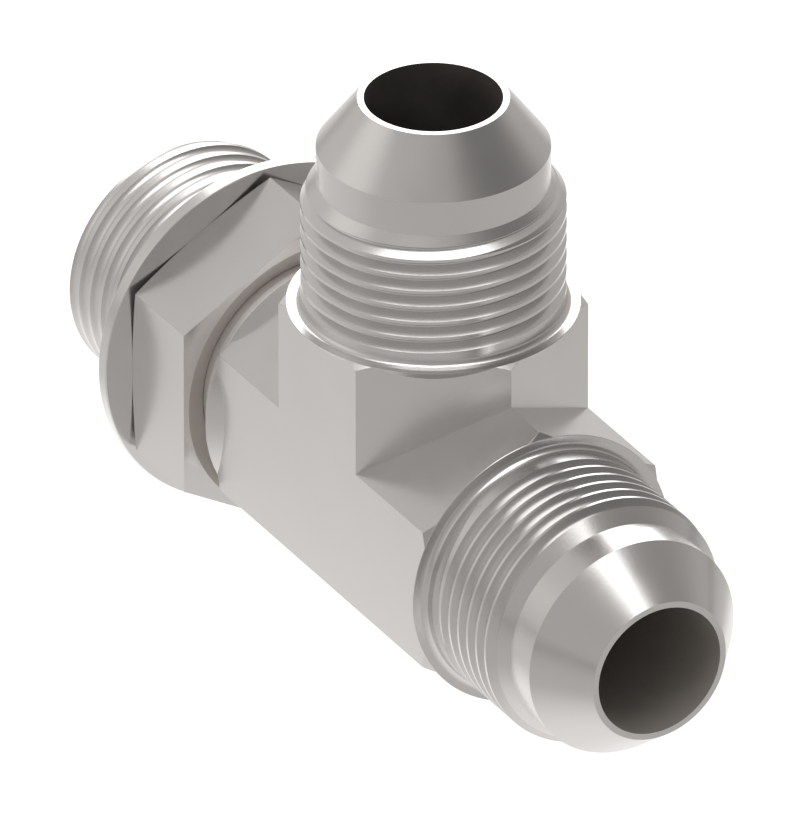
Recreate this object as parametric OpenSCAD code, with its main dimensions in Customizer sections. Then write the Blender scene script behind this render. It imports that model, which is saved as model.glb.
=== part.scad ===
// Run tee adapter with two flare ends and an adjustable O-ring stud.
// Lengths are in millimetres. The run lies along X and the branch along Z, and the
// origin is where their two axes cross. The flare end of the run points along +X,
// the stud along -X, and the flats of both hexagonal arms face +Y and -Y.

/* [Threads] */
// Major diameter of the stud's thread
thread_d = 19.05; // [17.5:0.05:20]
// Major diameter of the two flare threads
flare_d = 18.74; // [17.3:0.01:19.8]
// Pitch of the two flare threads
flare_pitch = 1.27; // [1:0.01:1.6]
// Pitch of the stud's thread
stud_pitch = 1.5875; // [1.25:0.0125:1.8]

/* [Body] */
// Width across the flats of the hexagonal arms
body_af = 19.2; // [18.6:0.1:21]
// How far the round collar at a flare end's shoulder stands out from the flats
collar_overhang = 0.97; // [0.6:0.01:1.3]
// From the run axis to the branch shoulder
branch_shoulder = 14.42; // [13:0.01:20]
// From the branch axis to the shoulder of the run's flare end
run_shoulder = 15.41; // [13:0.01:20]
// From the branch axis to the shoulder at the stud
stud_shoulder = 14.42; // [13:0.01:20]
// Slope of the chamfer on the hexagon's corners, measured from the shoulder's face
corner_chamfer_angle = 30; // [15:1:40]
// Diameter of the two bores, which meet in the middle
bore_d = 10; // [8:0.1:11.5]

/* [Flare ends] */
// Fillet between a shoulder and the thread
shoulder_fillet = 0.35; // [0.1:0.01:0.6]
// Plain length between a shoulder and the first groove
flare_land = 1.12; // [0.7:0.01:2.5]
// Length of the flare thread
flare_thread_len = 7.62; // [4:0.01:14]
// Step from the thread down to the plain pilot, on the radius
pilot_step = 0.96; // [0.9:0.01:1.6]
// Slope of the thread's lead chamfer, measured from the axis
lead_angle = 36; // [30:1:60]
// Length of the plain pilot
pilot_len = 2.68; // [1:0.01:6]
// Slope of the flare cone, measured from the axis
flare_angle = 37; // [30:0.5:45]
// Width of the flat ring around the bore's mouth
nose_lip = 0.46; // [0.2:0.01:1]

/* [Stud] */
// How far the round collar at the stud stands out from the small end of its cone
stud_collar_step = 0.945; // [0.6:0.005:1.3]
// Slope of the cone between the collar and the stud, measured from the axis
stud_cone_angle = 30; // [20:1:45]
// Length of the relief groove behind the cone
relief_len = 0.6; // [0.3:0.05:1.2]
// Depth of the neck that holds the washer and the ring, below the thread's crest
neck_depth = 1.025; // [0.9:0.005:1.5]
// Length of the port thread
port_thread_len = 7.6; // [5:0.05:14]
// Chamfer at the end of the stud
end_chamfer = 1.1; // [0.6:0.05:1.6]

/* [Locknut] */
// Width across the flats of the locknut
nut_af = 22.4; // [20.4:0.1:26.8]
// Length of the locknut
nut_len = 7.44; // [6.5:0.01:12]
// Width left flat around the countersink in the face towards the body, at the flats
countersink_margin = 0.4; // [0.2:0.01:0.9]
// Full angle of the countersink
countersink_angle = 120; // [100:1:130]
// Slope of the chamfer on the washer side, measured from the face
nut_chamfer_angle = 15; // [10:1:30]
// How far the chamfer's round face lies inside the flats, on the radius
nut_face_inset = 0.14; // [0:0.01:0.6]
// How far the locknut can turn back towards the body, along the stud
back_travel = 0.97; // [0.4:0.01:1.6]
// How far the locknut can push the washer and the ring towards the thread
push_travel = 1.2; // [0.5:0.01:2]

/* [Washer and ring] */
// Outer diameter of the backup washer
washer_d = 26.84; // [25:0.01:34]
// Thickness of the backup washer
washer_t = 1.07; // [0.7:0.01:2.2]
// Chamfer on the washer's outer edges
washer_chamfer = 0.08; // [0.02:0.01:0.3]
// Thickness of the O-ring's round section
ring_section = 2.2; // [1.8:0.01:2.8]

/* [Clearances] */
// Between the locknut's bore and the stud, on the radius
nut_clearance = 0.05; // [0.02:0.01:0.1]
// Between the washer's bore and the stud's neck, on the radius
washer_clearance = 0.08; // [0.02:0.01:0.1]
// Between the O-ring and the stud's neck, on the radius
ring_clearance = 0.03; // [0.01:0.01:0.1]
// Between the faces of the locknut, the washer and the ring
face_gap = 0.04; // [0.01:0.01:0.1]
// Left between two pieces where a travel ends
stop_gap = 0.1; // [0.05:0.01:0.3]

/* [Hidden] */
$fn = 96;
eps = 0.01;

// Radii shared by the pieces
thread_r = thread_d / 2;
flare_r = flare_d / 2;
bore_r = bore_d / 2;
collar_r = body_af / 2 + collar_overhang;
corner_r = body_af / sqrt(3);
pilot_r = flare_r - pilot_step;
neck_r = thread_r - neck_depth;
// The locknut's thread and the stud's are drawn plain, at their pitch diameter
lock_r = thread_r - 0.325 * stud_pitch;
nut_bore_r = lock_r + nut_clearance;
nut_flat_r = nut_af / 2;
nut_corner_r = nut_flat_r / cos(30);
countersink_r = nut_flat_r - countersink_margin;
cone_end_r = thread_r + 0.1;
stud_collar_r = cone_end_r + stud_collar_step;

// Heights above a flare end's shoulder
lead_start = flare_land + flare_thread_len;
pilot_start = lead_start + pilot_step / tan(lead_angle);
cone_start = pilot_start + pilot_len;
cone_len = (pilot_r - bore_r - nose_lip) / tan(flare_angle);
flare_len = cone_start + cone_len;

// Distances from the branch axis along the stud, in the order of the stack
cone_end = stud_shoulder + stud_collar_step / tan(stud_cone_angle);
stop_depth = (countersink_r - cone_end_r) / tan(countersink_angle / 2);
nut_front = cone_end - stop_depth + stop_gap + back_travel;
nut_back = nut_front + nut_len;
washer_front = nut_back + face_gap;
washer_back = washer_front + washer_t;
ring_front = washer_back + face_gap;
ring_back = ring_front + ring_section;
lock_end = washer_front - back_travel - stop_gap;
port_start = ring_back + push_travel + stop_gap;
port_end = port_start + port_thread_len;
stud_end = port_end + end_chamfer;

// Crest, depth and flank of a 60 degree thread
function crest(pitch) = pitch / 8;
function depth(pitch) = 0.6134 * pitch;
function flank(pitch) = depth(pitch) * tan(30);

// Outline of one groove in a thread of radius r and the crest after it, from z to z + pitch
function groove(r, z, pitch) = [
    [r, z + crest(pitch) / 2],
    [r - depth(pitch), z + crest(pitch) / 2 + flank(pitch)],
    [r - depth(pitch), z + pitch - crest(pitch) / 2 - flank(pitch)],
    [r, z + pitch - crest(pitch) / 2]
];

// Outline of as many whole grooves as fit in len, ending at the height top
function grooves(r, top, len, pitch) =
    let (count = floor(len / pitch + 0.001))
    [for (i = [0 : count - 1]) each groove(r, top - (count - i) * pitch, pitch)];

// Outline of a round collar of radius r, from inside the arm out to its rim at z
function collar(r, z) = [
    [0, z - collar_overhang - 0.5],
    [body_af / 2 - 0.5, z - collar_overhang - 0.5],
    [r, z]
];

// Quarter round from the shoulder up to the flare thread
function fillet(r, steps = 6) = [
    for (i = [0 : steps])
        let (a = 90 * i / steps)
        [flare_r + r * (1 - sin(a)), r * (1 - cos(a))]
];

// One arm of the body: a hexagonal bar with corners chamfered down to a collar of radius rim_r
module arm(len, rim_r) {
    end_r = rim_r - 0.05;
    grow = (corner_r + 1 - end_r) * tan(corner_chamfer_angle);
    intersection() {
        cylinder(h = len, r = corner_r, $fn = 6);
        union() {
            cylinder(h = len - grow + eps, r = corner_r + 1);
            translate([0, 0, len - grow])
                cylinder(h = grow, r1 = corner_r + 1, r2 = end_r);
        }
    }
}

// One flare end, standing on its shoulder at z = 0
module flare_end() {
    round_r = min(shoulder_fillet, (collar_r - flare_r) / 2);
    rotate_extrude()
        polygon(concat(
            collar(collar_r, 0),
            fillet(round_r),
            grooves(flare_r, lead_start, flare_thread_len, flare_pitch),
            [
                [flare_r, lead_start],
                [pilot_r, pilot_start],
                [pilot_r, cone_start],
                [bore_r + nose_lip, flare_len],
                [0, flare_len]
            ]
        ));
}

// The adjustable stud, standing on the branch axis at z = 0
module stud() {
    rise = neck_depth * tan(30);
    rotate_extrude()
        polygon(concat(
            collar(stud_collar_r, stud_shoulder),
            [
                [cone_end_r, cone_end],
                [neck_r, cone_end + 0.15],
                [neck_r, cone_end + relief_len],
                [lock_r, cone_end + relief_len + (lock_r - neck_r)],
                [lock_r, lock_end - (lock_r - neck_r)],
                [neck_r, lock_end],
                [neck_r, port_start],
                [thread_r, port_start + rise]
            ],
            grooves(thread_r, port_end, port_thread_len - rise, stud_pitch),
            [
                [thread_r, port_end],
                [thread_r - end_chamfer, stud_end],
                [0, stud_end]
            ]
        ));
}

module tee_body() {
    color("#b9b7b4")
        difference() {
            union() {
                arm(branch_shoulder, collar_r);
                rotate([0, 90, 0]) arm(run_shoulder, collar_r);
                rotate([0, -90, 0]) arm(stud_shoulder, stud_collar_r);
                translate([0, 0, branch_shoulder]) flare_end();
                rotate([0, 90, 0]) translate([0, 0, run_shoulder]) flare_end();
                rotate([0, -90, 0]) stud();
            }
            rotate([0, 90, 0])
                translate([0, 0, -stud_end - 1])
                    cylinder(h = stud_end + run_shoulder + flare_len + 2, r = bore_r);
            cylinder(h = branch_shoulder + flare_len + 1, r = bore_r);
        }
}

// Hexagonal locknut, countersunk towards the body and chamfered towards the washer
module locknut() {
    face_r = nut_flat_r - nut_face_inset;
    outer_r = nut_corner_r + 1;
    chamfer_h = (outer_r - face_r) * tan(nut_chamfer_angle);
    sink_h = (countersink_r - nut_bore_r) / tan(countersink_angle / 2);
    color("#b2b0ad")
        rotate([0, -90, 0])
            translate([0, 0, nut_front])
                difference() {
                    intersection() {
                        cylinder(h = nut_len, r = nut_corner_r, $fn = 6);
                        union() {
                            cylinder(h = nut_len - chamfer_h + eps, r = outer_r);
                            translate([0, 0, nut_len - chamfer_h])
                                cylinder(h = chamfer_h, r1 = outer_r, r2 = face_r);
                        }
                    }
                    translate([0, 0, -1]) cylinder(h = nut_len + 2, r = nut_bore_r);
                    rotate_extrude()
                        polygon([
                            [0, -1],
                            [countersink_r + tan(countersink_angle / 2), -1],
                            [nut_bore_r, sink_h],
                            [0, sink_h]
                        ]);
                }
}

// Thin washer that the locknut pushes against the ring
module backup_washer() {
    in_r = neck_r + washer_clearance;
    out_r = washer_d / 2;
    color("#bdbbb8")
        rotate([0, -90, 0])
            translate([0, 0, washer_front])
                rotate_extrude()
                    polygon([
                        [in_r, 0],
                        [out_r - washer_chamfer, 0],
                        [out_r, washer_chamfer],
                        [out_r, washer_t - washer_chamfer],
                        [out_r - washer_chamfer, washer_t],
                        [in_r, washer_t]
                    ]);
}

// Rubber ring on the stud's neck
module o_ring() {
    color("#1c1c1e")
        rotate([0, -90, 0])
            translate([0, 0, ring_front + ring_section / 2])
                rotate_extrude()
                    translate([neck_r + ring_clearance + ring_section / 2, 0])
                        circle(d = ring_section, $fn = 48);
}

tee_body();
locknut();
backup_washer();
o_ring();
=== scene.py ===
"""Run tee adapter with two flare ends and an adjustable O-ring stud, dressed for a plain studio render.

The run lies along X and the branch along Z, and the origin is where their axes cross.
Sizes of the fitting are in millimetres, those of the floor, the lamps and the camera in metres.
"""
import bmesh
import bpy
import math
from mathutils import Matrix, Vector


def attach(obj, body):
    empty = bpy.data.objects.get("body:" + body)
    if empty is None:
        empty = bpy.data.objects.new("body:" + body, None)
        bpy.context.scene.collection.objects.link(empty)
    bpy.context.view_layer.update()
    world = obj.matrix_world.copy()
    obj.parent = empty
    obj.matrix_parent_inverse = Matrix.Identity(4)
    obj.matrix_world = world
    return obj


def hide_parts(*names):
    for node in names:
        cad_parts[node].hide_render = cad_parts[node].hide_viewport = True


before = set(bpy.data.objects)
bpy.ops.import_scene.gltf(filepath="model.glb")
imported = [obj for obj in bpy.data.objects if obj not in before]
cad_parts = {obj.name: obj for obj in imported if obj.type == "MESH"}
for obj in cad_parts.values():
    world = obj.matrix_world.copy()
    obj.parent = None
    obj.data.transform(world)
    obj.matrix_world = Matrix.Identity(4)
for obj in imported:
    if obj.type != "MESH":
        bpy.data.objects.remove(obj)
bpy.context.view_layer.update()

MM = 0.001
SIDES = 128

# Vertices closer than this are one, in metres: on a new piece, and after a cut
SAME_SPOT = 1e-7
CUT_LEFTOVER = 2e-6

# How far surfaces that would coincide are kept apart, and how far a cutter reaches past what it cuts
SUNK = 0.02
PAST = 1

# Sizes of the body
BODY_FLATS = 19.2
CORNER_R = BODY_FLATS / math.sqrt(3)
BAR_CHAMFER_ANGLE = 30
BAR_EASE = 0.03
BRANCH_SHOULDER = 14.42
RUN_SHOULDER = 15.41
STUD_SHOULDER = 14.42
BORE_R = 5.0
BRANCH_BORE_START = -0.013

# Sizes of the round collars: a slanted underside, a rim that is broken a little, and the arm's end in it
COLLAR_R = 10.57
COLLAR_SKIRT = 1.6
RIM_DROP = 0.04
RIM_INSET = 0.03
BAR_END_INSET = 0.05
BAR_END_R = COLLAR_R - BAR_END_INSET

# Radii of the first and last disc of a turned outline, inside the hexagon and inside the bore
CORE_R = 8.0
PLUG_R = 4.0

# Radius of all three threads
THREAD_R = 9.525

# Sizes of the flare threads, whose grooves start above the shoulder
FLARE_PITCH = 1.27
FLARE_CREST = 0.25
FLARE_DEPTH = 0.75
FLARE_GROOVE_START = 1.177
FLARE_GROOVE_ANGLE = -148.6
FLARE_GROOVE_TURNS = 7.4
FLARE_GROOVE_FADE = 0.25

# Sizes of the stud's thread, whose groove starts from the branch axis
STUD_PITCH = 1.5875
STUD_CREST = 0.42
STUD_DEPTH = 0.4
STUD_GROOVE_START = 26.55
STUD_GROOVE_ANGLE = 0
STUD_GROOVE_TURNS = 7.2
STUD_GROOVE_FADE = 0.02

# Share of its depth by which a groove is lifted where it starts
GROOVE_LIFT = 1.25

# Sizes of a flare end, above its shoulder
FILLET = 0.5
FILLET_STEPS = 8
LEAD_START = 8.74
PILOT_R = 8.41
PILOT_START = 10.069
CONE_START = 12.739
FLARE_LEN = 16.654
NOSE_R = 5.46

# Sizes of the stud, from the branch axis
CONE_END_R = 9.625
CONE_END = 16.057
CONE_STEP = 0.2
NECK_R = 8.5
LOCK_R = 9.009
LOCK_END = 22.858
PORT_START = 28.538
PORT_LAND = 29.13
PORT_END = 36.138
STUD_END = 37.238

# Sizes of the washer and the ring, from the branch axis
WASHER_FRONT = 23.928
WASHER_BACK = 24.998
WASHER_R = 13.42
WASHER_BORE_R = 8.58
WASHER_EASE = 0.08
RING_FRONT = 25.038
RING_SECTION = 2.2
RING_MID_R = 9.63
RING_SECTION_SIDES = 32

# Sizes of the locknut, from the branch axis
NUT_FLATS = 22.4
NUT_FACE_STEP = 0.033
NUT_FACE_R = NUT_FLATS / 2 + NUT_FACE_STEP
NUT_CHAMFER_ANGLE = 15
NUT_FRONT = 16.448
NUT_BACK = 23.888
NUT_BORE_R = 9.059
NUT_BORE_CHAMFER = 0.3
SINK_R = 10.8
SINK_ANGLE = 60

# The photo shows a thinner gap between locknut and washer than the solids have
NUT_LOOK_GAP = 0.006
NUT_LOOK_BACK = WASHER_FRONT - NUT_LOOK_GAP

# Where the cone's and shank's turned finish, lightened as painted light, ends, and the radius that the port
# thread lies outside
TURNED_END = 22
PORT_THREAD_MIN_R = 8

# How far inside its edge the countersink is told from the locknut's face
SINK_EDGE = 0.05

# Along the axis a drilled wall's normal is below the first of these, and a flat end's above the second
WALL_LEAN = 0.1
END_LEAN = 0.95

# Edges less sharp than this many degrees are shaded smooth
SMOOTH_ANGLE = 14

# Height of the floor
FLOOR = -0.055

# Light and dark tint of each metal, and its smoothest and roughest spots
PLATED_TINTS = ((0.745, 0.735, 0.727), (0.71, 0.7, 0.692))
WASHER_TINTS = ((0.755, 0.745, 0.737), (0.72, 0.71, 0.702))
# The drilled walls' tints are dark as painted shade of the bores, the branch's darker than the run's
RUN_BORE_SHADE_TINTS = ((0.45, 0.42, 0.39), (0.36, 0.335, 0.31))
BRANCH_BORE_SHADE_TINTS = ((0.3, 0.28, 0.265), (0.24, 0.225, 0.21))
# The shank's and countersink's tints are lighter than the plated steel, as painted light in the locknut's
# shade
SHANK_PAINTED_LIGHT_TINTS = ((0.9, 0.87, 0.85), (0.85, 0.82, 0.8))
COUNTERSINK_PAINTED_LIGHT_TINTS = ((0.79, 0.765, 0.745), (0.74, 0.717, 0.697))
PLATED_ROUGH = (0.2, 0.26)
PORT_THREAD_ROUGH = (0.3, 0.34)
TURNED_ROUGH = (0.5, 0.58)
BRANCH_DRILLING_ROUGH = (0.5, 0.6)
RUN_DRILLING_ROUGH = (0.55, 0.65)

# Strength of the grain on plated and on machined faces, and its depth in metres
PLATED_GRAIN = 0.12
MACHINED_GRAIN = 0.3
GRAIN_DEPTH = 0.00002


def clear_selection():
    """Object mode with nothing selected."""
    if bpy.context.object and bpy.context.object.mode != "OBJECT":
        bpy.ops.object.mode_set(mode="OBJECT")
    bpy.ops.object.select_all(action="DESELECT")


def take(piece):
    """Makes the piece the only selected and active object."""
    clear_selection()
    piece.select_set(True)
    bpy.context.view_layer.objects.active = piece


def settle(piece):
    """Puts the piece's place, turn and scale into its mesh, and leaves it selected."""
    take(piece)
    bpy.ops.object.transform_apply(location=True, rotation=True, scale=True)


def select_where(piece, test):
    """Selects the vertices of the piece in edit mode for which test(co) is true."""
    bpy.ops.mesh.select_mode(type="VERT")
    bpy.ops.mesh.select_all(action="DESELECT")
    mesh = bmesh.from_edit_mesh(piece.data)
    for vert in mesh.verts:
        vert.select = test(vert.co)
    mesh.select_flush(True)
    bmesh.update_edit_mesh(piece.data)


def face_outwards(piece):
    """Merges doubles and turns every face outwards."""
    take(piece)
    bpy.ops.object.mode_set(mode="EDIT")
    bpy.ops.mesh.select_all(action="SELECT")
    bpy.ops.mesh.remove_doubles(threshold=SAME_SPOT)
    bpy.ops.mesh.normals_make_consistent(inside=False)
    bpy.ops.object.mode_set(mode="OBJECT")


def apply_modifier(piece, kind, **settings):
    """Adds a modifier with these settings and applies it."""
    take(piece)
    modifier = piece.modifiers.new(kind.title(), kind)
    for key, value in settings.items():
        setattr(modifier, key, value)
    bpy.ops.object.modifier_apply(modifier=modifier.name)


def combine(piece, other, operation):
    """Boolean of the piece with another solid, which is used up, then merges what lies on one spot."""
    apply_modifier(piece, "BOOLEAN", operation=operation, object=other, solver="EXACT")
    bpy.data.objects.remove(other, do_unlink=True)
    bpy.ops.object.mode_set(mode="EDIT")
    bpy.ops.mesh.select_all(action="SELECT")
    bpy.ops.mesh.remove_doubles(threshold=CUT_LEFTOVER)
    bpy.ops.mesh.dissolve_degenerate(threshold=CUT_LEFTOVER)
    bpy.ops.object.mode_set(mode="OBJECT")


def ease_edges(piece, width, angle, segments):
    """Breaks the edges that are sharper than the angle, as a deburring tool does."""
    apply_modifier(piece, "BEVEL", width=width * MM, segments=segments, limit_method="ANGLE",
                   angle_limit=math.radians(angle), use_clamp_overlap=True)


def turned(name, outline):
    """A solid turned about Z: a disc that is extruded and resized along the outline."""
    clear_selection()
    radius, height = outline[0]
    bpy.ops.mesh.primitive_circle_add(vertices=SIDES, radius=radius * MM, fill_type="NGON",
                                      location=(0, 0, height * MM))
    piece = bpy.context.object
    piece.name = name
    settle(piece)
    bpy.ops.object.mode_set(mode="EDIT")
    bpy.ops.mesh.select_all(action="SELECT")
    for next_radius, next_height in outline[1:]:
        rise = (next_height - height) * MM
        grow = next_radius / radius
        bpy.ops.mesh.extrude_region_move(TRANSFORM_OT_translate={"value": (0, 0, rise)})
        bpy.ops.transform.resize(value=(grow, grow, 1), center_override=(0, 0, next_height * MM))
        radius, height = next_radius, next_height
    bpy.ops.object.mode_set(mode="OBJECT")
    face_outwards(piece)
    return piece


def hexagonal(name, flats, low, high):
    """A hexagonal bar about Z from low to high, with corners on +X and -X."""
    clear_selection()
    bpy.ops.mesh.primitive_cylinder_add(vertices=6, radius=flats / math.sqrt(3) * MM,
                                        depth=(high - low) * MM, location=(0, 0, (low + high) / 2 * MM),
                                        rotation=(0, 0, math.pi / 6))
    piece = bpy.context.object
    piece.name = name
    settle(piece)
    return piece


def lay_along_x(piece, sign):
    """Turns a piece that stands on Z to lie along +X or -X."""
    take(piece)
    piece.rotation_euler = (0, sign * math.pi / 2, 0)
    settle(piece)


def vee_section(name, pitch, crest, depth):
    """The outline of a thread groove with flanks 60 degrees apart and a rounded root."""
    clear_selection()
    flank = math.tan(math.radians(30))
    outside = 0.1
    mouth_r = THREAD_R + outside
    root_r = THREAD_R - depth
    mouth = pitch - crest + 2 * outside * flank
    root = mouth - 2 * (mouth_r - root_r) * flank
    root_round = 0.42 * root
    bpy.ops.mesh.primitive_plane_add(size=1, location=((mouth_r + root_r) / 2 * MM, 0, 0),
                                     rotation=(math.pi / 2, 0, 0))
    section = bpy.context.object
    section.name = name
    section.scale = ((mouth_r - root_r) * MM, mouth * MM, 1)
    settle(section)
    bpy.ops.object.mode_set(mode="EDIT")
    select_where(section, lambda co: co.x < (mouth_r + root_r) / 2 * MM)
    bpy.ops.transform.resize(value=(1, 1, root / mouth), center_override=(root_r * MM, 0, 0))
    bpy.ops.mesh.bevel(offset=root_round * MM, segments=5, affect="VERTICES")
    bpy.ops.mesh.select_all(action="SELECT")
    bpy.ops.mesh.delete(type="ONLY_FACE")
    bpy.ops.object.mode_set(mode="OBJECT")
    return section


def round_section(name, pitch, crest):
    """The outline of a shallow round groove, whose edges are 62 degrees steep."""
    clear_selection()
    edge = math.radians(62)
    section_r = (pitch - crest) / 2 / math.sin(edge)
    middle_r = THREAD_R + section_r * math.cos(edge)
    cut_off = middle_r + 0.3 * section_r
    bpy.ops.mesh.primitive_circle_add(vertices=32, radius=section_r * MM, fill_type="NOTHING",
                                      location=(middle_r * MM, 0, 0), rotation=(math.pi / 2, 0, 0))
    section = bpy.context.object
    section.name = name
    settle(section)
    bpy.ops.object.mode_set(mode="EDIT")
    select_where(section, lambda co: co.x > cut_off * MM)
    bpy.ops.mesh.delete(type="VERT")
    bpy.ops.mesh.select_all(action="SELECT")
    bpy.ops.mesh.edge_face_add()
    bpy.ops.mesh.delete(type="ONLY_FACE")
    bpy.ops.object.mode_set(mode="OBJECT")
    return section


def groove_cutter(cutter, pitch, depth, start, start_angle, turns, fade_turns):
    """Winds a groove's outline into a right-handed helix, which lifts out over its first fade_turns."""
    cutter.location = (0, 0, start * MM)
    cutter.rotation_euler = (0, 0, math.radians(start_angle))
    settle(cutter)
    count = len(cutter.data.vertices)
    steps = round(turns * SIDES)
    apply_modifier(cutter, "SCREW", axis="Z", angle=2 * math.pi * turns, screw_offset=pitch * turns * MM,
                   steps=steps, render_steps=steps, iterations=1, use_merge_vertices=False)
    bpy.ops.object.mode_set(mode="EDIT")
    bpy.ops.mesh.select_mode(type="VERT")
    fade_steps = round(fade_turns * SIDES)
    for step in range(fade_steps):
        share = 1 - step / fade_steps
        lift = 1 + GROOVE_LIFT * depth * share ** 2 / THREAD_R
        bpy.ops.mesh.select_all(action="DESELECT")
        mesh = bmesh.from_edit_mesh(cutter.data)
        mesh.verts.ensure_lookup_table()
        for vert in mesh.verts[step * count:(step + 1) * count]:
            vert.select = True
        mesh.select_flush(True)
        bmesh.update_edit_mesh(cutter.data)
        bpy.ops.transform.resize(value=(lift, lift, 1), center_override=(0, 0, 0))
    bpy.ops.mesh.select_all(action="SELECT")
    bpy.ops.mesh.fill_holes(sides=0)
    bpy.ops.object.mode_set(mode="OBJECT")
    face_outwards(cutter)
    return cutter


def make_flare_end():
    """One flare end on its collar, whose top is at z = 0, with its thread cut."""
    outline = [(CORE_R, -COLLAR_SKIRT), (COLLAR_R - COLLAR_SKIRT, -COLLAR_SKIRT), (COLLAR_R, -RIM_DROP),
               (COLLAR_R - RIM_INSET, 0)]
    for step in range(FILLET_STEPS + 1):
        a = math.radians(90 * step / FILLET_STEPS)
        outline.append((THREAD_R + FILLET * (1 - math.sin(a)), FILLET * (1 - math.cos(a))))
    outline += [(THREAD_R, LEAD_START), (PILOT_R, PILOT_START), (PILOT_R, CONE_START), (NOSE_R, FLARE_LEN),
                (PLUG_R, FLARE_LEN)]
    end = turned("flare_end", outline)
    section = vee_section("flare_groove", FLARE_PITCH, FLARE_CREST, FLARE_DEPTH)
    cutter = groove_cutter(section, FLARE_PITCH, FLARE_DEPTH, FLARE_GROOVE_START, FLARE_GROOVE_ANGLE,
                           FLARE_GROOVE_TURNS, FLARE_GROOVE_FADE)
    combine(end, cutter, "DIFFERENCE")
    return end


def make_stud():
    """The stud, standing on the branch axis at z = 0, with its port thread cut."""
    skirt_start = STUD_SHOULDER - COLLAR_SKIRT
    end_chamfer = STUD_END - PORT_END
    neck_chamfer = LOCK_R - NECK_R
    outline = [(CORE_R, skirt_start), (COLLAR_R - COLLAR_SKIRT, skirt_start), (COLLAR_R, STUD_SHOULDER),
               (CONE_END_R, CONE_END), (LOCK_R, CONE_END + CONE_STEP), (LOCK_R, LOCK_END - neck_chamfer),
               (NECK_R, LOCK_END), (NECK_R, PORT_START), (THREAD_R, PORT_LAND), (THREAD_R, PORT_END),
               (THREAD_R - end_chamfer, STUD_END), (PLUG_R, STUD_END)]
    stud = turned("stud", outline)
    section = round_section("stud_groove", STUD_PITCH, STUD_CREST)
    cutter = groove_cutter(section, STUD_PITCH, STUD_DEPTH, STUD_GROOVE_START, STUD_GROOVE_ANGLE,
                           STUD_GROOVE_TURNS, STUD_GROOVE_FADE)
    combine(stud, cutter, "DIFFERENCE")
    return stud


def make_bar(name, low, high, low_chamfer, high_chamfer):
    """A hexagonal arm about Z whose corners are chamfered at the chosen ends."""
    bar = hexagonal(name, BODY_FLATS, low, high)
    outer = CORNER_R + PAST
    rise = (outer - BAR_END_R) * math.tan(math.radians(BAR_CHAMFER_ANGLE))
    outline = [(outer, low - PAST), (outer, high + PAST)]
    if low_chamfer:
        outline = [(BAR_END_R, low), (outer, low + rise)] + outline[1:]
    if high_chamfer:
        outline = outline[:-1] + [(outer, high - rise), (BAR_END_R, high)]
    envelope = turned(name + "_envelope", outline)
    combine(bar, envelope, "INTERSECT")
    ease_edges(bar, BAR_EASE, angle=50, segments=2)
    return bar


def make_body():
    """The whole tee body, bored through."""
    body = make_bar("run_bar", SUNK - STUD_SHOULDER, RUN_SHOULDER - SUNK, True, True)
    lay_along_x(body, 1)
    branch = make_bar("branch_bar", 0, BRANCH_SHOULDER - SUNK, False, True)
    combine(body, branch, "UNION")
    flare = make_flare_end()
    flare.location = (0, 0, BRANCH_SHOULDER * MM)
    settle(flare)
    bpy.ops.object.duplicate()
    run_flare = bpy.context.object
    run_flare.location = (0, 0, (RUN_SHOULDER - BRANCH_SHOULDER) * MM)
    settle(run_flare)
    lay_along_x(run_flare, 1)
    stud = make_stud()
    lay_along_x(stud, -1)
    combine(body, flare, "UNION")
    combine(body, run_flare, "UNION")
    combine(body, stud, "UNION")
    run_bore = turned("run_bore", [(BORE_R, -STUD_END - PAST), (BORE_R, RUN_SHOULDER + FLARE_LEN + PAST)])
    lay_along_x(run_bore, 1)
    branch_r = BORE_R - SUNK
    branch_bore = turned("branch_bore", [(branch_r, BRANCH_BORE_START),
                                         (branch_r, BRANCH_SHOULDER + FLARE_LEN + PAST)])
    combine(body, run_bore, "DIFFERENCE")
    combine(body, branch_bore, "DIFFERENCE")
    body.name = "body_look"
    body.data.name = "body_look"
    return body


def make_locknut():
    """The hexagonal locknut, countersunk towards the body and chamfered towards the washer."""
    nut = hexagonal("locknut_look", NUT_FLATS, NUT_FRONT, NUT_LOOK_BACK)
    outer = NUT_FLATS / math.sqrt(3) + PAST
    rise = (outer - NUT_FACE_R) * math.tan(math.radians(NUT_CHAMFER_ANGLE))
    envelope = turned("nut_envelope", [(outer, NUT_FRONT - PAST), (outer, NUT_LOOK_BACK - rise),
                                       (NUT_FACE_R, NUT_LOOK_BACK)])
    combine(nut, envelope, "INTERSECT")
    slope = math.tan(math.radians(SINK_ANGLE))
    sink_depth = (SINK_R - NUT_BORE_R) / slope
    chamfer_past = 0.2
    chamfer_r = NUT_BORE_R + NUT_BORE_CHAMFER + chamfer_past
    outline = [(SINK_R + PAST * slope, NUT_FRONT - PAST), (NUT_BORE_R, NUT_FRONT + sink_depth),
               (NUT_BORE_R, NUT_BACK - NUT_BORE_CHAMFER), (chamfer_r, NUT_BACK + chamfer_past),
               (chamfer_r, NUT_BACK + PAST)]
    bore = turned("nut_bore", outline)
    combine(nut, bore, "DIFFERENCE")
    lay_along_x(nut, -1)
    return nut


def make_washer():
    """The thin backup washer."""
    washer = turned("washer_look", [(WASHER_R, WASHER_FRONT), (WASHER_R, WASHER_BACK)])
    ease_edges(washer, WASHER_EASE, angle=25, segments=3)
    bore = turned("washer_bore", [(WASHER_BORE_R, WASHER_FRONT - PAST), (WASHER_BORE_R, WASHER_BACK + PAST)])
    combine(washer, bore, "DIFFERENCE")
    lay_along_x(washer, -1)
    return washer


def make_ring():
    """The rubber ring on the stud's neck."""
    clear_selection()
    section_r = RING_SECTION / 2
    bpy.ops.mesh.primitive_torus_add(major_segments=SIDES, minor_segments=RING_SECTION_SIDES,
                                     major_radius=RING_MID_R * MM, minor_radius=section_r * MM,
                                     location=(0, 0, (RING_FRONT + section_r) * MM))
    ring = bpy.context.object
    ring.name = "ring_look"
    settle(ring)
    lay_along_x(ring, -1)
    return ring


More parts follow.
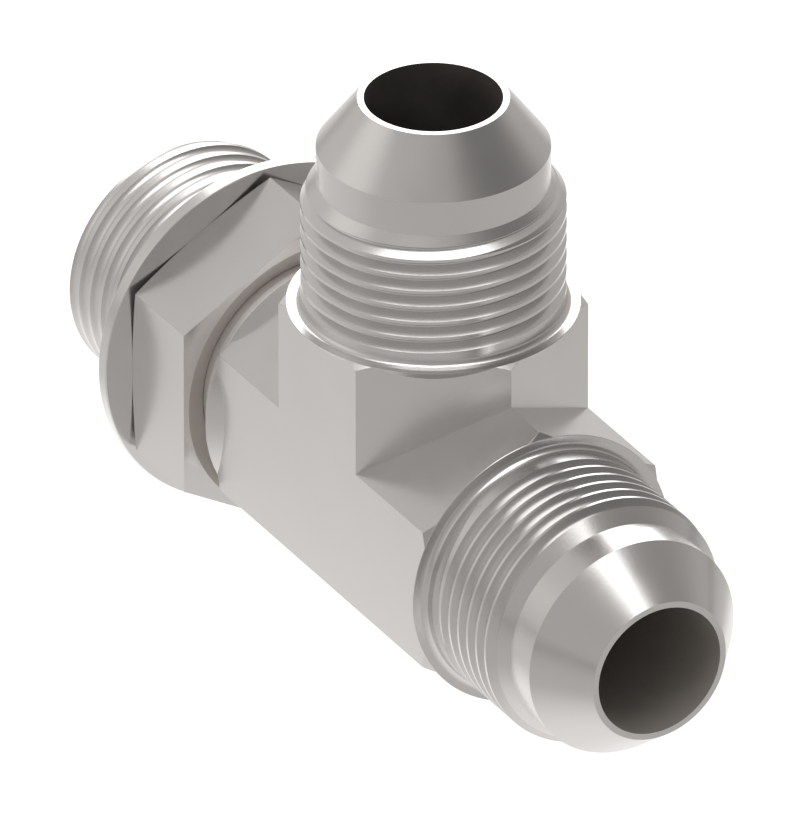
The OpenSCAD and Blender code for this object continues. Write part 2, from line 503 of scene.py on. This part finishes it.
def new_material(name):
    """A new material, with its nodes, its links and its shader."""
    material = bpy.data.materials.new(name)
    material.use_nodes = True
    tree = material.node_tree
    return material, tree.nodes, tree.links, tree.nodes["Principled BSDF"]


def noise(nodes, scale, detail):
    """A noise texture node of this scale and detail."""
    texture = nodes.new("ShaderNodeTexNoise")
    texture.inputs["Scale"].default_value = scale
    texture.inputs["Detail"].default_value = detail
    return texture


def smooth_ramp(nodes, start, full, low, high):
    """A node that eases from low, where its value is start, to high, where its value is full."""
    ramp = nodes.new("ShaderNodeMapRange")
    ramp.interpolation_type = "SMOOTHSTEP"
    ramp.inputs["From Min"].default_value = start
    ramp.inputs["From Max"].default_value = full
    ramp.inputs["To Min"].default_value = low
    ramp.inputs["To Max"].default_value = high
    return ramp


def reach_along(nodes, direction):
    """A node that measures how far a vector reaches along a direction."""
    along = nodes.new("ShaderNodeVectorMath")
    along.operation = "DOT_PRODUCT"
    along.inputs[1].default_value = direction
    return along


def joined(nodes, links, operation, first, second):
    """The output of a new node that joins two values by an operation."""
    node = nodes.new("ShaderNodeMath")
    node.operation = operation
    links.new(first, node.inputs[0])
    links.new(second, node.inputs[1])
    return node.outputs["Value"]


def satin_group():
    """Node group of a satin metal surface: a faint mottling and a fine grain."""
    group = bpy.data.node_groups.new("satin_surface", "ShaderNodeTree")
    face = group.interface
    face.new_socket("Vector", in_out="INPUT", socket_type="NodeSocketVector")
    face.new_socket("Light", in_out="INPUT", socket_type="NodeSocketColor")
    face.new_socket("Dark", in_out="INPUT", socket_type="NodeSocketColor")
    face.new_socket("Smoothest", in_out="INPUT", socket_type="NodeSocketFloat")
    face.new_socket("Roughest", in_out="INPUT", socket_type="NodeSocketFloat")
    face.new_socket("Color", in_out="OUTPUT", socket_type="NodeSocketColor")
    face.new_socket("Roughness", in_out="OUTPUT", socket_type="NodeSocketFloat")
    face.new_socket("Height", in_out="OUTPUT", socket_type="NodeSocketFloat")
    nodes = group.nodes
    links = group.links
    given = nodes.new("NodeGroupInput")
    result = nodes.new("NodeGroupOutput")
    mottle = noise(nodes, 260, 3)
    grain = noise(nodes, 5200, 2)
    colour = nodes.new("ShaderNodeMix")
    colour.data_type = "RGBA"
    rough = nodes.new("ShaderNodeMapRange")
    links.new(given.outputs["Vector"], mottle.inputs["Vector"])
    links.new(given.outputs["Vector"], grain.inputs["Vector"])
    links.new(mottle.outputs["Fac"], colour.inputs["Factor"])
    links.new(given.outputs["Dark"], colour.inputs["A"])
    links.new(given.outputs["Light"], colour.inputs["B"])
    links.new(mottle.outputs["Fac"], rough.inputs["Value"])
    rough.inputs["From Min"].default_value = 0.3
    rough.inputs["From Max"].default_value = 0.7
    links.new(given.outputs["Smoothest"], rough.inputs["To Min"])
    links.new(given.outputs["Roughest"], rough.inputs["To Max"])
    links.new(colour.outputs["Result"], result.inputs["Color"])
    links.new(rough.outputs["Result"], result.inputs["Roughness"])
    links.new(grain.outputs["Fac"], result.inputs["Height"])
    return group


def metal(name, tints, roughness, grain, group, metallic=1):
    """A satin metal with its own tints, roughness and grain."""
    material, nodes, links, shader = new_material(name)
    shader.inputs["Metallic"].default_value = metallic
    place = nodes.new("ShaderNodeTexCoord")
    surface = nodes.new("ShaderNodeGroup")
    surface.node_tree = group
    light, dark = tints
    smoothest, roughest = roughness
    surface.inputs["Light"].default_value = (*light, 1)
    surface.inputs["Dark"].default_value = (*dark, 1)
    surface.inputs["Smoothest"].default_value = smoothest
    surface.inputs["Roughest"].default_value = roughest
    relief = nodes.new("ShaderNodeBump")
    relief.inputs["Strength"].default_value = grain
    relief.inputs["Distance"].default_value = GRAIN_DEPTH
    links.new(place.outputs["Object"], surface.inputs["Vector"])
    links.new(surface.outputs["Color"], shader.inputs["Base Color"])
    links.new(surface.outputs["Roughness"], shader.inputs["Roughness"])
    links.new(surface.outputs["Height"], relief.inputs["Height"])
    links.new(relief.outputs["Normal"], shader.inputs["Normal"])
    return material


def rubber(name):
    """Smooth black rubber with a faint bloom."""
    material, nodes, links, shader = new_material(name)
    shader.inputs["IOR"].default_value = 1.52
    place = nodes.new("ShaderNodeTexCoord")
    bloom = noise(nodes, 700, 4)
    tint = nodes.new("ShaderNodeMix")
    tint.data_type = "RGBA"
    tint.inputs["A"].default_value = (0.012, 0.012, 0.013, 1)
    tint.inputs["B"].default_value = (0.026, 0.026, 0.028, 1)
    rough = nodes.new("ShaderNodeMapRange")
    rough.inputs["To Min"].default_value = 0.38
    rough.inputs["To Max"].default_value = 0.55
    links.new(place.outputs["Object"], bloom.inputs["Vector"])
    links.new(bloom.outputs["Fac"], tint.inputs["Factor"])
    links.new(bloom.outputs["Fac"], rough.inputs["Value"])
    links.new(tint.outputs["Result"], shader.inputs["Base Color"])
    links.new(rough.outputs["Result"], shader.inputs["Roughness"])
    return material


def finish_piece(piece, materials, body, node):
    """Smooth shading, materials, and the piece's place in the frame."""
    take(piece)
    bpy.ops.object.shade_smooth_by_angle(angle=math.radians(SMOOTH_ANGLE))
    piece.data.materials.clear()
    for material in materials:
        piece.data.materials.append(material)
    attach(piece, body)
    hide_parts(node)


def paint_body(piece):
    """Gives the drilled walls a rough finish darkened as painted shade, the turned cone and shank a turned
    finish lightened as painted light, and the stud's thread its own finish.
    """
    drilled_r = (BORE_R + SUNK) * MM
    for face in piece.data.polygons:
        centre = face.center
        normal = face.normal
        from_run = math.hypot(centre.y, centre.z)
        from_branch = math.hypot(centre.x, centre.y)
        # The bores take the materials darkened as painted shade
        if from_run < drilled_r and abs(normal.x) < WALL_LEAN:
            face.material_index = 1
        elif from_branch < drilled_r and abs(normal.z) < WALL_LEAN and centre.z > 0:
            face.material_index = 2
        # The cone and shank take the material lightened as painted light
        elif -TURNED_END * MM < centre.x < -STUD_SHOULDER * MM:
            face.material_index = 3
        elif centre.x < -PORT_START * MM and from_run > PORT_THREAD_MIN_R * MM:
            face.material_index = 4


def paint_nut(piece):
    """Gives the locknut's countersink and bore the duller finish of a turned face, lightened as painted
    light in the nut's shade.
    """
    inside_r = (SINK_R - SINK_EDGE) * MM
    for face in piece.data.polygons:
        centre = face.center
        if math.hypot(centre.y, centre.z) < inside_r and abs(face.normal.x) < END_LEAN:
            face.material_index = 1


def make_floor():
    """A wide pale floor below the part that gives off painted light: lighter at the back left, with a white
    painted pool of light behind it.

    Only camera, glossy and transmission rays see the light that it gives off.
    """
    clear_selection()
    bpy.ops.mesh.primitive_plane_add(size=12, location=(0, 0, FLOOR))
    floor = bpy.context.object
    floor.name = "floor"
    settle(floor)
    material, nodes, links, shader = new_material("pale_floor")
    shader.inputs["Base Color"].default_value = (0.67, 0.66, 0.652, 1)
    shader.inputs["Roughness"].default_value = 0.9
    shader.inputs["Specular IOR Level"].default_value = 0.0
    shader.inputs["Emission Color"].default_value = (1, 1, 1, 1)
    place = nodes.new("ShaderNodeTexCoord")
    # Painted pool of light: the floor gives off light that fades away from a spot behind the part
    pool = nodes.new("ShaderNodeMapping")
    pool.vector_type = "TEXTURE"
    pool.inputs["Location"].default_value = (-0.0784, 0.0453, FLOOR)
    pool.inputs["Rotation"].default_value = (0, 0, math.radians(150))
    pool.inputs["Scale"].default_value = (1, 0.55, 1)
    reach = nodes.new("ShaderNodeVectorMath")
    reach.operation = "LENGTH"
    fade = smooth_ramp(nodes, 0.09, 0.2, 0.5, 0)
    # Painted light that grows towards the left of the floor
    leftward = reach_along(nodes, (-0.985, -0.174, 0))
    left_side = smooth_ramp(nodes, 0, 0.11, 0, 0.12)
    ray = nodes.new("ShaderNodeLightPath")
    links.new(place.outputs["Object"], pool.inputs["Vector"])
    links.new(pool.outputs["Vector"], reach.inputs[0])
    links.new(reach.outputs["Value"], fade.inputs["Value"])
    links.new(place.outputs["Object"], leftward.inputs[0])
    links.new(leftward.outputs["Value"], left_side.inputs["Value"])
    glossy = joined(nodes, links, "MAXIMUM", ray.outputs["Is Camera Ray"], ray.outputs["Is Glossy Ray"])
    shown = joined(nodes, links, "MAXIMUM", glossy, ray.outputs["Is Transmission Ray"])
    both = joined(nodes, links, "ADD", fade.outputs["Result"], left_side.outputs["Result"])
    painted_floor_light = joined(nodes, links, "MULTIPLY", both, shown)
    links.new(painted_floor_light, shader.inputs["Emission Strength"])
    floor.data.materials.append(material)


def softbox(name, place, size, radiance):
    """A square area lamp at place that faces the origin and looks as bright as radiance."""
    lamp_data = bpy.data.lights.new(name, "AREA")
    lamp_data.shape = "SQUARE"
    lamp_data.size = size
    lamp_data.energy = radiance * math.pi * size * size
    lamp = bpy.data.objects.new(name, lamp_data)
    bpy.context.scene.collection.objects.link(lamp)
    lamp.location = place
    lamp.rotation_euler = (-Vector(place)).to_track_quat("-Z", "Y").to_euler()


def room_lobe(nodes, links, place, toward, start, strength):
    """A soft bright or dark patch of the room around one direction, strongest straight along it."""
    near = reach_along(nodes, toward)
    patch = smooth_ramp(nodes, start, 1, 0, strength)
    links.new(place.outputs["Generated"], near.inputs[0])
    links.new(near.outputs["Value"], patch.inputs["Value"])
    return patch.outputs["Result"]


def make_world():
    """A soft room: brighter on the left, with a reflector on the left and a darker corner on the right."""
    world = bpy.data.worlds.new("soft_room")
    bpy.context.scene.world = world
    world.use_nodes = True
    nodes = world.node_tree.nodes
    links = world.node_tree.links
    background = nodes["Background"]
    place = nodes.new("ShaderNodeTexCoord")
    side = reach_along(nodes, (-0.13, -0.042, 0))
    even = nodes.new("ShaderNodeMath")
    even.operation = "ADD"
    even.inputs[1].default_value = 0.496
    links.new(place.outputs["Generated"], side.inputs[0])
    links.new(side.outputs["Value"], even.inputs[0])
    reflector = room_lobe(nodes, links, place, (-0.419, -0.788, 0.449), 0.88, 0.255)
    corner = room_lobe(nodes, links, place, (0.641, 0.641, 0.423), 0.6, -0.194)
    brighter = joined(nodes, links, "ADD", even.outputs["Value"], reflector)
    total = joined(nodes, links, "ADD", brighter, corner)
    links.new(total, background.inputs["Strength"])
    background.inputs["Color"].default_value = (1, 0.97, 0.94, 1)


def make_camera():
    """A long lens at the photograph's angle: turned 30 degrees from +X towards -Y, and 30 degrees up."""
    camera_data = bpy.data.cameras.new("camera")
    camera_data.lens = 1500
    camera_data.sensor_width = 36
    camera_data.clip_end = 20
    camera = bpy.data.objects.new("camera", camera_data)
    bpy.context.scene.collection.objects.link(camera)
    middle = Vector((-0.003259, -0.00087, 0.004124))
    away = Vector((0.75, -0.4330127, 0.5))
    distance = 2.437
    camera.location = middle + distance * away
    camera.rotation_euler = (-away).to_track_quat("-Z", "Y").to_euler()
    bpy.context.scene.camera = camera


body = make_body()
nut = make_locknut()
washer = make_washer()
ring = make_ring()

satin = satin_group()
body_steel = metal("body_steel", PLATED_TINTS, PLATED_ROUGH, PLATED_GRAIN, satin)
# Drilled walls: a rough machined finish, darkened as painted shade of the bores
run_bore_shade = metal("run_bore_shade", RUN_BORE_SHADE_TINTS, RUN_DRILLING_ROUGH, MACHINED_GRAIN, satin, 0.1)
branch_bore_shade = metal("branch_bore_shade", BRANCH_BORE_SHADE_TINTS, BRANCH_DRILLING_ROUGH,
                        MACHINED_GRAIN, satin)
# Cone and shank: a rough turned finish, less metallic and pale as painted light in the locknut's shade
shank_painted_light = metal("shank_painted_light", SHANK_PAINTED_LIGHT_TINTS, TURNED_ROUGH, MACHINED_GRAIN, satin, 0.45)
# Countersink: a rough turned finish, lightened as painted light in the nut's shade
countersink = metal("countersink", COUNTERSINK_PAINTED_LIGHT_TINTS, TURNED_ROUGH, MACHINED_GRAIN, satin)
port_thread = metal("port_thread", PLATED_TINTS, PORT_THREAD_ROUGH, PLATED_GRAIN, satin)
nut_steel = metal("nut_steel", PLATED_TINTS, PLATED_ROUGH, PLATED_GRAIN, satin)
washer_steel = metal("washer_steel", WASHER_TINTS, PLATED_ROUGH, PLATED_GRAIN, satin)
seal_rubber = rubber("seal_rubber")

body_finishes = [body_steel, run_bore_shade, branch_bore_shade, shank_painted_light, port_thread]
finish_piece(body, body_finishes, "tee", "tee_body")
paint_body(body)
finish_piece(nut, [nut_steel, countersink], "nut", "locknut")
paint_nut(nut)
finish_piece(washer, [washer_steel], "washer", "backup_washer")
finish_piece(ring, [seal_rubber], "washer", "o_ring")

make_floor()
softbox("overhead_softbox", (0.045, -0.025, 0.5), 0.39, 1.8)
softbox("back_left_softbox", (-0.385, 0.2, 0.25), 0.38, 1.8)
make_world()
make_camera()
bpy.context.scene.view_settings.view_transform = "Standard"
